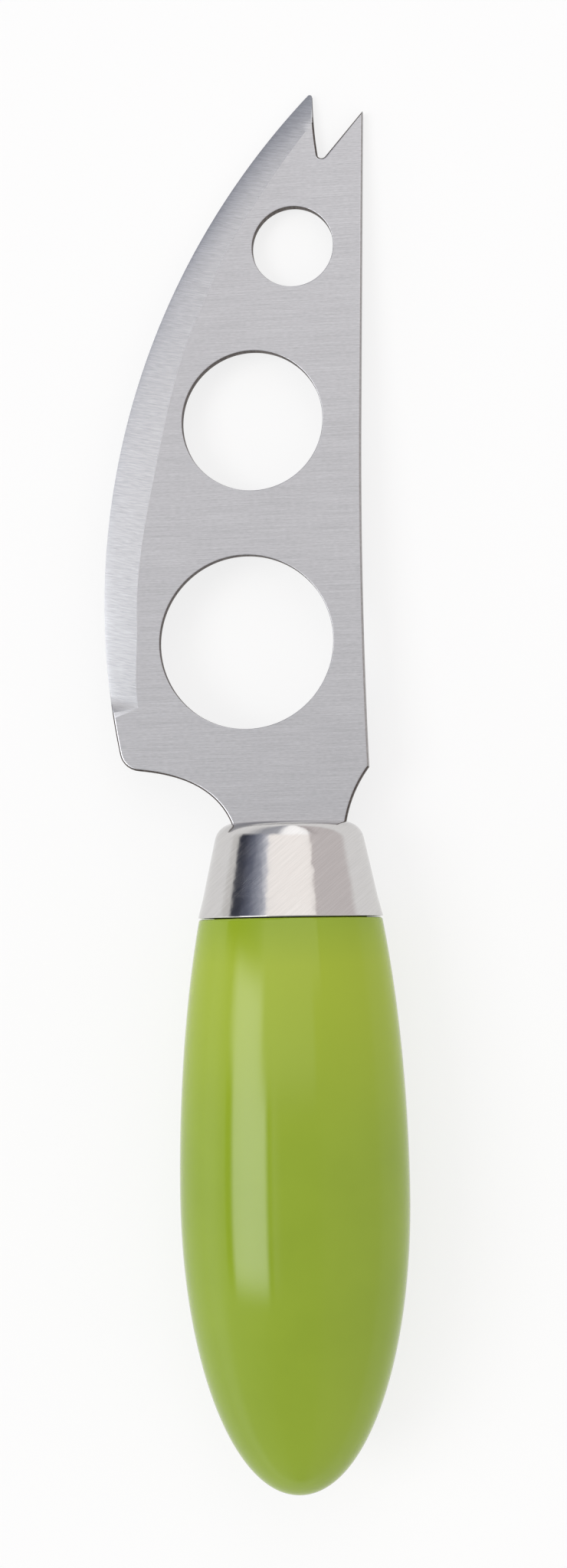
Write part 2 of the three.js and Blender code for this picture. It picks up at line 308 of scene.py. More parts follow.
@dataclass(frozen=True)
class GrainedFinish(Finish):
    """A finish whose colour, gloss and relief follow its grains, by number: -1 is all of them mixed."""

    colours: tuple[str, str]
    spread: Pair  # the grain's values that give the first colour and the second
    roughness: Pair
    grains: tuple[Grain, ...]
    shares: tuple[float, ...] = ()  # of each grain after the first in the mixture so far
    colour_grain: int = -1
    gloss_grain: int = -1
    gloss_spread: Pair = (0.0, 1.0)
    reliefs: tuple[Relief, ...] = ()
    anisotropy: Pair | None = None  # and its turn from the direction of the blade's map
    ior: float | None = None  # a metal has none of its own

    def shade(self, tree: NodeTree) -> Node:
        """Fills a material's tree.

        Args:
            tree: The empty tree.

        Returns:
            The shader's node.
        """
        place = add(tree, "ShaderNodeTexCoord").outputs["Object"]
        grains = [grain.draw(tree, place) for grain in self.grains]
        mixture = grains[0]
        for share, grain in zip(self.shares, grains[1:]):
            mixture = add(tree, "ShaderNodeMix", {SHARE: share, VALUE_A: mixture, VALUE_B: grain})
        grains.append(mixture)
        (low, high), (smooth, rough) = self.gloss_spread, self.roughness
        gloss = {"From Min": low, "From Max": high, "To Min": smooth, "To Max": rough}
        shader = {
            "Base Color": self.colour(tree, place, grains[self.colour_grain]),
            "Roughness": add(tree, "ShaderNodeMapRange", {"Value": grains[self.gloss_grain], **gloss}),
        }
        for relief in self.reliefs:
            under = {"Normal": shader["Normal"]} if "Normal" in shader else {}
            depth = {"Strength": relief.strength, "Distance": relief.depth * MM}
            shader["Normal"] = add(tree, "ShaderNodeBump", {"Height": grains[relief.grain], **depth, **under})
        if self.anisotropy:
            shader["Anisotropic"], shader["Anisotropic Rotation"] = self.anisotropy
            shader["Tangent"] = add(tree, "ShaderNodeTangent", direction_type="UV_MAP", uv_map=GRIND_UV)
        shader |= {"Metallic": 1.0} if self.ior is None else {"IOR": self.ior}
        return add(tree, "ShaderNodeBsdfPrincipled", shader)

    def colour(self, tree: NodeTree, place: NodeSocket, grain: Node) -> NodeSocket:
        """Lets a grain choose between the finish's two colours.

        Args:
            tree: The material's tree.
            place: The coordinates of the surface; not used.
            grain: The grain.

        Returns:
            The colour.
        """
        low, high = self.spread
        share = add(tree, "ShaderNodeMapRange", {"Value": grain, "From Min": low, "From Max": high})
        first, second = map(linear, self.colours)
        mix = {SHARE: share, COLOUR_A: first, COLOUR_B: second}
        return add(tree, "ShaderNodeMix", mix, data_type="RGBA").outputs[MIXED_COLOUR]


@dataclass(frozen=True)
class BrushedStainlessSheet(GrainedFinish):
    """Cold-rolled stainless sheet, belt-brushed across the blade: a satin grey of fine level lines."""

    colours: tuple[str, str] = ("acacb0", "c5c5c9")
    spread: Pair = (0.36, 0.64)
    roughness: Pair = (0.26, 0.36)
    grains: tuple[Grain, ...] = (
        # Lines, drawn coarser than real ones, which are about 0.05 apart and too fine to show
        Grain((9.0, 0.16, math.inf), detail=4.0, roughness=0.62),
        Grain((36.0, 1.6, math.inf)),  # streaks
        Grain((0.8, 0.16, math.inf)),  # nicks
    )
    shares: tuple[float, ...] = (0.15, 0.35)
    gloss_grain: int = 0
    reliefs: tuple[Relief, ...] = (Relief(0, 0.02, 0.045),)
    anisotropy: Pair = (0.75, 0.25)


@dataclass(frozen=True, kw_only=True)
class GroundStainlessBevel(GrainedFinish):
    """The same sheet ground on a belt: brighter, with short marks that slant across the bevel, and painted
    shade on the plunge.
    """

    colours: tuple[str, str] = ("a5a6aa", "bebfc3")
    spread: Pair = (0.33, 0.65)
    roughness: Pair = (0.2, 0.28)
    grains: tuple[Grain, ...] = (
        # Marks, drawn coarser than real ones, which are about 0.1 apart
        Grain((1.5, 0.14, math.inf), detail=4.0, roughness=0.65, slant=12.0),
        Grain((5.0, 0.3, math.inf), slant=12.0),  # scratches
    )
    shares: tuple[float, ...] = (0.3,)
    reliefs: tuple[Relief, ...] = (Relief(-1, 0.02, 0.015),)
    anisotropy: Pair = (0.3, 0.0)
    runout: float  # mm along the edge where the belt was lifted off at the plunge, which gets a darker colour as painted shade
    # The painted shade's colour, and how far along and across the bevel it reaches from the plunge
    plunge_shade_colour: str = "8e8f93"
    plunge_shade_length: float = 2.2
    plunge_shade_width: float = 3.8

    def colour(self, tree: NodeTree, place: NodeSocket, grain: Node) -> NodeSocket:
        """Lays painted shade on the plunge over the colours of the marks.

        Args:
            tree: The material's tree.
            place: The coordinates of the surface.
            grain: The marks.

        Returns:
            The colour.
        """
        spot = add(tree, "ShaderNodeSeparateXYZ", {0: add(tree, "ShaderNodeUVMap", uv_map=GRIND_UV)}).outputs
        near = add(tree, "ShaderNodeMapRange", {
            "Value": spot["X"], "From Min": self.runout + self.plunge_shade_length, "From Max": self.runout,
        }, interpolation_type="SMOOTHSTEP")
        plunge_shade_share = add(tree, "ShaderNodeMapRange", {
            "Value": spot["Y"], "From Min": self.plunge_shade_width, "From Max": 0.0, "To Max": near,
        })
        ground = super().colour(tree, place, grain)
        mix = {SHARE: plunge_shade_share, COLOUR_A: ground, COLOUR_B: linear(self.plunge_shade_colour)}
        return add(tree, "ShaderNodeMix", mix, data_type="RGBA").outputs[MIXED_COLOUR]


@dataclass(frozen=True)
class ShearedEdgeWithPaintedShade(GrainedFinish):
    """The sheet's edge as the press sheared it: matt, with streaks across the thickness, and painted dark
    brown as shade and dark reflection.
    """

    colours: tuple[str, str] = ("47413e", "756e6a")
    spread: Pair = (0.3, 0.7)
    roughness: Pair = (0.5, 0.65)
    grains: tuple[Grain, ...] = (Grain((0.3, 0.3, 2.4), detail=3.0),)  # drawn coarser than the real 0.05


@dataclass(frozen=True)
class BuffedStainlessSpine(GrainedFinish):
    """The spine's edge, rounded on a soft wheel for a finger to press on: a satin grey, faintly mottled."""

    colours: tuple[str, str] = ("9e9c9b", "b4b2b2")
    spread: Pair = (0.3, 0.7)
    roughness: Pair = (0.4, 0.5)
    grains: tuple[Grain, ...] = (Grain((0.4, 0.4, 0.4), detail=3.0),)


@dataclass(frozen=True)
class PolishedStainlessCap(GrainedFinish):
    """Deep-drawn stainless, buffed by hand: nearly a mirror, clouded by slanting rub marks."""

    colours: tuple[str, str] = ("cac8c7", "d1cfce")
    spread: Pair = (0.35, 0.65)
    roughness: Pair = (0.1, 0.17)
    grains: tuple[Grain, ...] = (
        # Marks, drawn coarser than real ones, which are about 0.05 apart
        Grain((5.0, 0.18, 5.0), detail=3.0, roughness=0.6, slant=-40.0),
        Grain((2.6, 2.6, 2.6)),  # hollows that the buffing left
    )
    shares: tuple[float, ...] = (0.4,)
    colour_grain: int = 0
    gloss_spread: Pair = (0.3, 0.7)
    reliefs: tuple[Relief, ...] = (Relief(1, 0.05, 0.8), Relief(0, 0.02, 0.03))


@dataclass(frozen=True)
class GlossLimeAbs(GrainedFinish):
    """ABS moulded in a polished tool: a clean lime gloss, faintly rippled, with painted light towards the
    collar and painted shade at its rim.
    """

    colours: tuple[str, str] = ("90a82b", "8ca428")
    spread: Pair = (0.35, 0.65)
    roughness: Pair = (0.06, 0.12)
    grains: tuple[Grain, ...] = (
        Grain((14.0, 14.0, 14.0), detail=3.0),  # slow drifts of the pigment
        Grain((3.0, 3.0, 3.0)),  # the ripple
    )
    colour_grain: int = 0
    gloss_grain: int = 1
    reliefs: tuple[Relief, ...] = (Relief(1, 0.02, 0.05),)
    ior: float = 1.48
    # Painted light: a paler colour towards the collar, which fades into painted shade just under the collar's
    # rim
    pale: str = "9eb22b"
    painted_light_from: float = -58.0  # mm along the knife
    painted_light_to: float = -27.0
    rim: float = -20.7
    painted_light_at_rim: float = 0.2  # of the painted light, left at the collar's rim as painted shade under the ferrule

    def colour(self, tree: NodeTree, place: NodeSocket, grain: Node) -> NodeSocket:
        """Paints light over the pigment's colours towards the collar, fading into painted shade at the
        collar's rim.

        Args:
            tree: The material's tree.
            place: The coordinates of the surface.
            grain: The pigment's drifts.

        Returns:
            The colour.
        """
        height = add(tree, "ShaderNodeSeparateXYZ", {0: place}).outputs["Y"]
        painted_light_kept = add(tree, "ShaderNodeMapRange", {
            "Value": height, "From Min": self.painted_light_to * MM, "From Max": self.rim * MM,
            "To Min": 1.0, "To Max": self.painted_light_at_rim,
        })
        painted_light_share = add(tree, "ShaderNodeMapRange", {
            "Value": height, "From Min": self.painted_light_from * MM, "From Max": self.painted_light_to * MM, "To Max": painted_light_kept,
        }, interpolation_type="SMOOTHSTEP")
        pigment = super().colour(tree, place, grain)
        mix = {SHARE: painted_light_share, COLOUR_A: pigment, COLOUR_B: linear(self.pale)}
        return add(tree, "ShaderNodeMix", mix, data_type="RGBA").outputs[MIXED_COLOUR]


@dataclass(frozen=True)
class GlassFilledNylon(GrainedFinish):
    """Nylon moulded with short glass fibres: a dull dark grey flecked with pale fibre ends."""

    colours: tuple[str, str] = ("3a3d38", "5b5e57")
    spread: Pair = (0.55, 0.7)
    roughness: Pair = (0.6, 0.6)
    grains: tuple[Grain, ...] = (Grain((0.6, 0.6, 0.6), detail=3.0),)
    reliefs: tuple[Relief, ...] = (Relief(0, 0.05, 0.2),)
    ior: float = 1.53


@dataclass(frozen=True)
class CuredEpoxy(GrainedFinish):
    """Epoxy poured round the tang and cured: amber and glossy, with cloudy trails of fine bubbles."""

    colours: tuple[str, str] = ("cbb98a", "ded0ab")
    spread: Pair = (0.45, 0.65)
    roughness: Pair = (0.2, 0.45)
    grains: tuple[Grain, ...] = (Grain((1.2, 1.2, 1.2), detail=4.0),)
    ior: float = 1.55


@dataclass(frozen=True)
class WhiteSweep(Finish):
    """White paper under the knife: white to the eye and in the metal, with a faint shadow."""

    paper: str = "fafafa"
    glow: float = 0.74  # share of its white that no shadow dims

    def shade(self, tree: NodeTree) -> Node:
        """Fills a material's tree.

        Args:
            tree: The empty tree.

        Returns:
            The shader's node.
        """
        rays = add(tree, "ShaderNodeLightPath").outputs
        seen = rays["Is Camera Ray"]
        for ray in ("Is Glossy Ray", "Is Transmission Ray"):
            seen = add(tree, "ShaderNodeMath", {0: seen, 1: rays[ray]}, operation="MAXIMUM")
        share = add(tree, "ShaderNodeMath", {0: seen, 1: self.glow}, operation="MULTIPLY")
        paper = add(tree, "ShaderNodeBsdfDiffuse", {"Color": linear(self.paper)})
        white = add(tree, "ShaderNodeEmission", {"Strength": 1.0})
        return add(tree, "ShaderNodeMixShader", {0: share, 1: paper, 2: white})


@dataclass(frozen=True)
class Hole:
    """A round hole in the blade, by its centre and its diameter in millimetres."""

    offset: float
    height: float
    diameter: float

    @property
    def centre(self) -> Vector:
        """Gives the hole's centre in the blade's plane."""
        return Vector((self.offset, self.height))

    def line(self, segments: int) -> list[Vector]:
        """Draws the hole's rim clockwise, so that the sheet is on its left.

        Args:
            segments: How many points it has.

        Returns:
            The rim's points.
        """
        angles = (-math.tau * i / segments for i in range(segments))
        x, y, radius = self.offset, self.height, self.diameter / 2
        return [Vector((x + radius * math.cos(a), y + radius * math.sin(a))) for a in angles]


@dataclass
class Blade:
    """The blade and its tang: one pierced sheet with rounded rims and a bevel ground on both faces."""

    thickness: float = 1.5
    mount_height: float = 8.0  # of the record's mount on the face
    rim_width: float = 0.34
    rim_fall: float = 0.24
    hole_rim: float = 0.12
    neck_width: float = 17.2
    edge_reach: float = 27.7
    edge_reach_height: float = 32.93
    heel_height: float = 8.3
    heel_radius: float = 3.1
    heel_fall: float = 6.0  # degrees
    heel_bend: float = 2.9
    shoulder_height: float = 8.1
    shoulder_radius: float = 19.0
    spine_waist: float = 11.68
    spine_waist_height: float = 38.4
    spine_radius: float = 935.0
    spine_straight_height: float = 60.5
    notch_height: float = 101.3
    notch_offset: float = 6.7
    notch_radius: float = 0.7
    spine_prong_height: float = 108.28
    edge_prong_height: float = 112.0
    edge_prong_inside: float = 5.35
    edge_prong_round: float = 0.4
    edge_prong_room: float = 3.0  # how far left of the notch the prong's inner side may lie
    grinding: tuple[tuple[float, float, float, float], ...] = (
        (-20.0, 3.85, 0.245, 0.1), (-8.0, 4.05, 0.254, 0.1), (-1.0, 5.05, 0.377, 0.1),
        (12.0, 6.0, 0.546, 0.1), (24.5, 5.1, 0.575, 0.15), (33.0, 4.5, 0.58, 0.38), (46.0, 3.6, 0.58, 0.28),
    )  # degrees up the edge's sweep, and the bevel's width, its depth and its crown's share of that
    grind_shares: tuple[float, ...] = (0.0, 0.25, 0.5, 0.75)
    grind_trace: float = 2e-3  # a face that was ground down by less than this counts as flat
    edge_fall: float = 0.007  # how much further the bevel falls where it has been honed along the edge
    plunge_height: float = 17.2
    plunge_slope: float = 8.0  # degrees
    tang_width: float = 15.0
    tang_length: float = 46.0
    tang_step: float = 0.8
    tang_notch_radius: float = 1.5
    tang_notches: tuple[float, ...] = (4.0, 9.0, 14.0)  # heights above the tang's end
    holes: tuple[Hole, ...] = (
        Hole(2.0, 87.8, 12.4), Hole(-4.6, 61.2, 21.5), Hole(-6.0, 27.4, 26.4), Hole(0.0, -37.0, 5.0),
    )
    step: float = 0.9
    hole_segments: int = 128
    rim_turns: tuple[float, ...] = (0.0, 22.5, 45.0, 67.5, 90.0)  # degrees round the rim, from face to wall
    wall_turn: float = 0.72  # a hole's rim counts as wall, with the wall's painted shade, where it faces up by less than this
    rim_turn: float = 0.93  # the same for the outline's rim

    def __post_init__(self) -> None:
        """Works out the centres that the outline is swept about."""
        run = self.edge_reach + self.edge_prong_inside
        rise = self.edge_prong_height - self.edge_reach_height
        self.edge_radius = (run ** 2 + rise ** 2) / (2 * run)
        self.edge_centre = Vector((self.edge_radius - self.edge_reach, self.edge_reach_height))
        self.spine_centre = Vector((self.spine_radius + self.spine_waist, self.spine_waist_height))
        self.plunge_angle = math.asin((self.plunge_height - self.edge_reach_height) / self.edge_radius)
        self.plunge_end = self.grind_start(1.0)

    def on_sweep(self, angle: float, inwards: float = 0.0) -> Vector:
        """Gives the point of the cutting edge at an angle up its sweep, or one so far inwards of it."""
        reach = self.edge_radius - inwards
        return self.edge_centre + reach * Vector((-math.cos(angle), math.sin(angle)))

    def sweep_of(self, point: Vector) -> Pair:
        """Gives a point's angle up the edge's sweep and its distance inwards of the edge."""
        spoke = point - self.edge_centre
        return math.atan2(spoke.y, -spoke.x), self.edge_radius - spoke.length

    def on_spine(self, height: float) -> Vector:
        """Gives the point of the spine's curve at a height."""
        across = math.sqrt(self.spine_radius ** 2 - (height - self.spine_centre.y) ** 2)
        return Vector((self.spine_centre.x - across, height))

    def ground(self, angle: float) -> Triple:
        """Gives the bevel's measures at an angle up the edge's sweep, eased between the measured ones.

        Args:
            angle: The angle in radians.

        Returns:
            Its width, its depth at the edge, and the share of its depth that is crown.
        """
        degrees = math.degrees(angle)
        for (start, *first), (end, *second) in zip(self.grinding, self.grinding[1:]):
            if degrees <= end:
                share = min(max((degrees - start) / (end - start), 0), 1)
                share *= share * (3 - 2 * share)
                width, depth, crown = (a + (b - a) * share for a, b in zip(first, second))
                return width, depth, crown
        return self.grinding[-1][1:]

    def grind_depth(self, angle: float, share: float) -> float:
        """Gives how far the bevel lies under the face, at a share of its width from its inner line."""
        _, depth, crown = self.ground(angle)
        return depth * share * (1 - crown + crown * share)

    def grind_start(self, share: float) -> float:
        """Finds where the plunge's ramp comes down to the bevel.

        Args:
            share: How far across the bevel, from 0 at its inner line to 1 at the edge.

        Returns:
            The angle up the edge's sweep.
        """
        width = self.ground(self.plunge_angle)[0]
        ramp = self.grind_depth(self.plunge_angle, share) / math.tan(math.radians(self.plunge_slope))
        return self.plunge_angle + ramp / (self.edge_radius - width * (1 - share))

    def ground_height(self, point: Vector) -> float:
        """Gives the height over the blade's middle plane that grinding left at a point.

        Args:
            point: The point in the blade's plane.

        Returns:
            The height, which is the face's own outside the bevel.
        """
        face = self.thickness / 2
        angle, inwards = self.sweep_of(point)
        if angle < self.plunge_angle or point.y < 0:
            return face
        bevel = face - self.grind_depth(angle, max(1 - inwards / self.ground(angle)[0], 0))
        bevel -= self.edge_fall * max(1 - inwards / self.rim_width, 0)
        along = (angle - self.plunge_angle) * (self.edge_radius - inwards)
        ramp = face - along * math.tan(math.radians(self.plunge_slope))
        return max(bevel, ramp)

    def outline(self) -> list[Vector]:
        """Draws the blade and its tang counter-clockwise, from the tip of the prong that ends the edge.

        Returns:
            The outline's points.
        """
        rounded = self.edge_radius - self.edge_prong_round
        tip_x = self.edge_prong_inside - self.edge_prong_round
        tip_rise = math.sqrt(rounded ** 2 - (self.edge_centre.x - tip_x) ** 2)
        tip = Vector((tip_x, self.edge_centre.y + tip_rise))
        heel_y = self.heel_height + self.heel_radius
        heel_run = math.sqrt((self.edge_radius - self.heel_radius) ** 2 - (self.edge_centre.y - heel_y) ** 2)
        heel = Vector((self.edge_centre.x - heel_run, heel_y))
        turn = math.radians(-90 - self.heel_fall)
        heel_end = heel + self.heel_radius * Vector((math.cos(turn), math.sin(turn)))
        neck = self.neck_width / 2
        bend_x = -neck - self.heel_bend
        bend = Vector((bend_x, heel_end.y - math.tan(math.radians(self.heel_fall)) * (bend_x - heel_end.x)))

        line = ClosedLine([tip + Vector((self.edge_prong_round, 0))], self.step)
        line.arc_to(tip, self.on_sweep(self.sweep_of(tip)[0]))
        for angle in (self.plunge_end, self.plunge_angle, self.sweep_of(heel)[0]):
            line.arc_to(self.edge_centre, self.on_sweep(angle))
        line.arc_to(heel, heel_end)
        line.curve_to(bend, Vector((-neck, 0)))
        line.straight_to(Vector((-neck, -self.tang_step)), Vector((-self.tang_width / 2, -self.tang_step)))
        self.draw_tang(line)
        line.straight_to(Vector((neck, -self.tang_step)), Vector((neck, 0)))
        self.draw_spine(line)
        return line.points[:-1]

    def draw_tang(self, line: ClosedLine) -> None:
        """Draws the tang's sides with their half-round notches, and its end.

        Args:
            line: The outline so far, which gets them.
        """
        half, end = self.tang_width / 2, -self.tang_length
        reach = Vector((0, self.tang_notch_radius))
        for height in reversed(self.tang_notches):
            centre = Vector((-half, end + height))
            line.straight_to(centre + reach)
            line.arc_to(centre, centre - reach, clockwise=True)
        line.straight_to(Vector((-half, end)), Vector((half, end)))
        for height in self.tang_notches:
            centre = Vector((half, end + height))
            line.straight_to(centre - reach)
            line.arc_to(centre, centre + reach, clockwise=True)
        line.straight_to(Vector((half, -self.tang_step)))

    def draw_spine(self, line: ClosedLine) -> None:
        """Draws the shoulder, the spine, the fork's notch and the inner side of the edge's prong.

        Args:
            line: The outline so far, which gets them.
        """
        neck = line.points[-1]
        shoulder = self.on_spine(self.shoulder_height)
        chord = shoulder - neck
        reach = math.sqrt(self.shoulder_radius ** 2 - chord.length_squared / 4)
        right = Vector((chord.y, -chord.x)).normalized()
        line.arc_to((neck + shoulder) / 2 + right * reach, shoulder, clockwise=True)
        top = self.on_spine(self.spine_straight_height)
        line.arc_to(self.spine_centre, top, clockwise=True)
        lean = (top.y - self.spine_centre.y) / (self.spine_centre.x - top.x)
        prong = Vector((top.x + lean * (self.spine_prong_height - top.y), self.spine_prong_height))
        notch = Vector((self.notch_offset, self.notch_height + self.notch_radius))
        to_prong = prong - notch
        touch = math.atan2(to_prong.y, to_prong.x) - math.acos(self.notch_radius / to_prong.length)
        line.straight_to(prong, notch + self.notch_radius * Vector((math.cos(touch), math.sin(touch))))
        line.arc_to(notch, notch - Vector((self.notch_radius, 0)), clockwise=True)
        start, end = line.points[-1], line.points[0]
        line.curve_to(Vector((self.edge_prong_inside, (start.y + end.y) / 2)), end)

    def grind_line(self, rim: Sequence[Vector], share: float) -> list[Vector]:
        """Draws a line along the bevel, from the plunge to the prong's inner side.

        Args:
            rim: The inner line of the outline's rounded rim.
            share: How far across the bevel, from 0 where it meets the face to 1 at the edge.

        Returns:
            The line's points, of which the last is one of the rim's.
        """
        left = self.notch_offset - self.edge_prong_room
        inner_side = [p for p in rim if p.x > left and p.y > self.notch_height]
        line = []
        angle = self.grind_start(share)
        while True:
            point = self.on_sweep(angle, self.ground(angle)[0] * (1 - share))
            nearest = min(inner_side, key=lambda p: (p - point).length)
            if (nearest - point).length < self.step and nearest.x - point.x < self.step / 2:
                return [*line, nearest]
            line.append(point)
            angle += self.step / self.edge_radius

    def skin(self) -> tuple[list[Vector], Faces]:
        """Makes the mesh of one face with its rounded rims, and of half of the walls' height.

        Returns:
            Points over the blade's middle plane, and faces.
        """
        points: list[Vector] = []
        faces: Faces = []
        face = self.thickness / 2
        inner_lines = []
        rims = [(hole.line(self.hole_segments), self.hole_rim, self.hole_rim) for hole in self.holes]
        for line, width, fall in ((self.outline(), self.rim_width, self.rim_fall), *rims):
            start = len(points)
            for turn in map(math.radians, self.rim_turns):
                ring = inset(line, width * (1 - math.sin(turn)))
                rim = face - fall * (1 - math.cos(turn))
                points.extend(Vector((p.x, p.y, min(rim, self.ground_height(p)))) for p in ring)
                if turn == 0:
                    inner_lines.append(ring)
            points.extend(Vector((p.x, p.y, 0)) for p in line)
            count = len(line)
            for row in range(len(self.rim_turns)):
                for i in range(count):
                    a, b = start + row * count + i, start + row * count + (i + 1) % count
                    faces.append((a, a + count, b + count, b))
        self.fill_face(inner_lines, points, faces)
        return points, faces

    def fill_face(self, lines: list[list[Vector]], points: list[Vector], faces: Faces) -> None:
        """Fills the face between its rims, with the bevel's lines kept as edges.

        Args:
            lines: The inner lines of the rims, the outline's first.
            points: The mesh's points so far, which get the face's.
            faces: The mesh's faces so far, which get the face's.
        """
        flat: list[Vector] = []
        edges: list[tuple[int, int]] = []
        for line in lines:
            start = len(flat)
            flat.extend(line)
            edges.extend((start + i, start + (i + 1) % len(line)) for i in range(len(line)))
        grind = [self.grind_line(lines[0], share) for share in self.grind_shares]
        feet = [
            min(lines[0], key=lambda p: (p - self.on_sweep(angle, self.rim_width)).length)
            for angle in (self.plunge_angle, self.plunge_end)
        ]
        for line in (*grind, [grind[0][0], feet[0]], [*(line[0] for line in grind), feet[1]]):
            start = len(flat)
            flat.extend(line)
            edges.extend((start + i, start + i + 1) for i in range(len(line) - 1))
        corners, _, triangles, *_ = delaunay_2d_cdt(flat, edges, [], INSIDE_ONLY, LEVEL)
        start = len(points)
        points.extend(Vector((p.x, p.y, self.ground_height(p))) for p in corners)
        chord = math.cos(math.pi / self.hole_segments)
        voids = [(hole.centre, chord * (hole.diameter / 2 + self.hole_rim)) for hole in self.holes]
        for triangle in triangles:
            middle = sum((corners[i] for i in triangle), Vector((0, 0))) / 3
            if all((middle - centre).length > radius for centre, radius in voids):
                faces.append(tuple(start + i for i in triangle))

    def zone_of(self, corners: Sequence[Vector], normal: Vector) -> BladeZone:
        """Says which part of the blade's skin a face of its mesh lies on.

        Args:
            corners: The face's corners.
            normal: The way that it faces.

        Returns:
            The part of the skin.
        """
        middle = (sum(corners, Vector()) / len(corners)).xy
        bored = any((middle - h.centre).length < h.diameter / 2 + 2 * self.hole_rim for h in self.holes)
        # Steep rim faces join the walls, which carry painted shade
        if abs(normal.z) < (self.wall_turn if bored else self.rim_turn):
            on_right = normal.x > 0 and middle.x > self.neck_width / 2
            return BladeZone.SPINE if on_right and middle.y > self.shoulder_height else BladeZone.WALL
        lowest = min(self.ground_height(p.xy) for p in corners)
        return BladeZone.BEVEL if lowest < self.thickness / 2 - self.grind_trace else BladeZone.FLAT

    def build(self, knife: Matrix) -> Object:
        """Makes the blade.

        Args:
            knife: What takes the knife's own frame to the row's.

        Returns:
            The blade's object, in place.
        """
        points, faces = self.skin()
        count = len(points)
        mirrored = [Vector((p.x, p.y, -p.z)) for p in points]
        turned = [tuple(count + i for i in reversed(corners)) for corners in faces]
        mesh = bpy.data.meshes.new("blade_sheet")
        mesh.from_pydata([*points, *mirrored], [], [*faces, *turned])
        lines = mesh.uv_layers.new(name=GRIND_UV).data
        for polygon in mesh.polygons:
            corners = [mesh.vertices[i].co for i in polygon.vertices]
            zone = self.zone_of(corners, polygon.normal)
            polygon.material_index = zone.value
            polygon.use_smooth = max(c.z for c in corners) - min(c.z for c in corners) >= LEVEL
            for loop in polygon.loop_indices:
                point = mesh.vertices[mesh.loops[loop].vertex_index].co.xy
                angle, inwards = self.sweep_of(point)
                lines[loop].uv = (angle * self.edge_radius, inwards) if zone is BladeZone.BEVEL else point
        weld_and_crease(mesh)
        mesh.transform(knife @ Matrix.Translation((0, FERRULE_HEIGHT, 0)))
        return put_in_scene("blade_sheet", mesh)

    def dress(self, piece: Object) -> None:
        """Gives the blade its finishes and its place in the frame.

        Args:
            piece: The blade's object.
        """
        finishes = {
            BladeZone.FLAT: BrushedStainlessSheet(),
            BladeZone.BEVEL: GroundStainlessBevel(runout=self.plunge_angle * self.edge_radius),
            BladeZone.WALL: ShearedEdgeWithPaintedShade(),
            BladeZone.SPINE: BuffedStainlessSpine(),
        }
        for zone in BladeZone:
            piece.data.materials.append(finishes[zone].material())
        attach(piece, "root")
        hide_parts("blade")


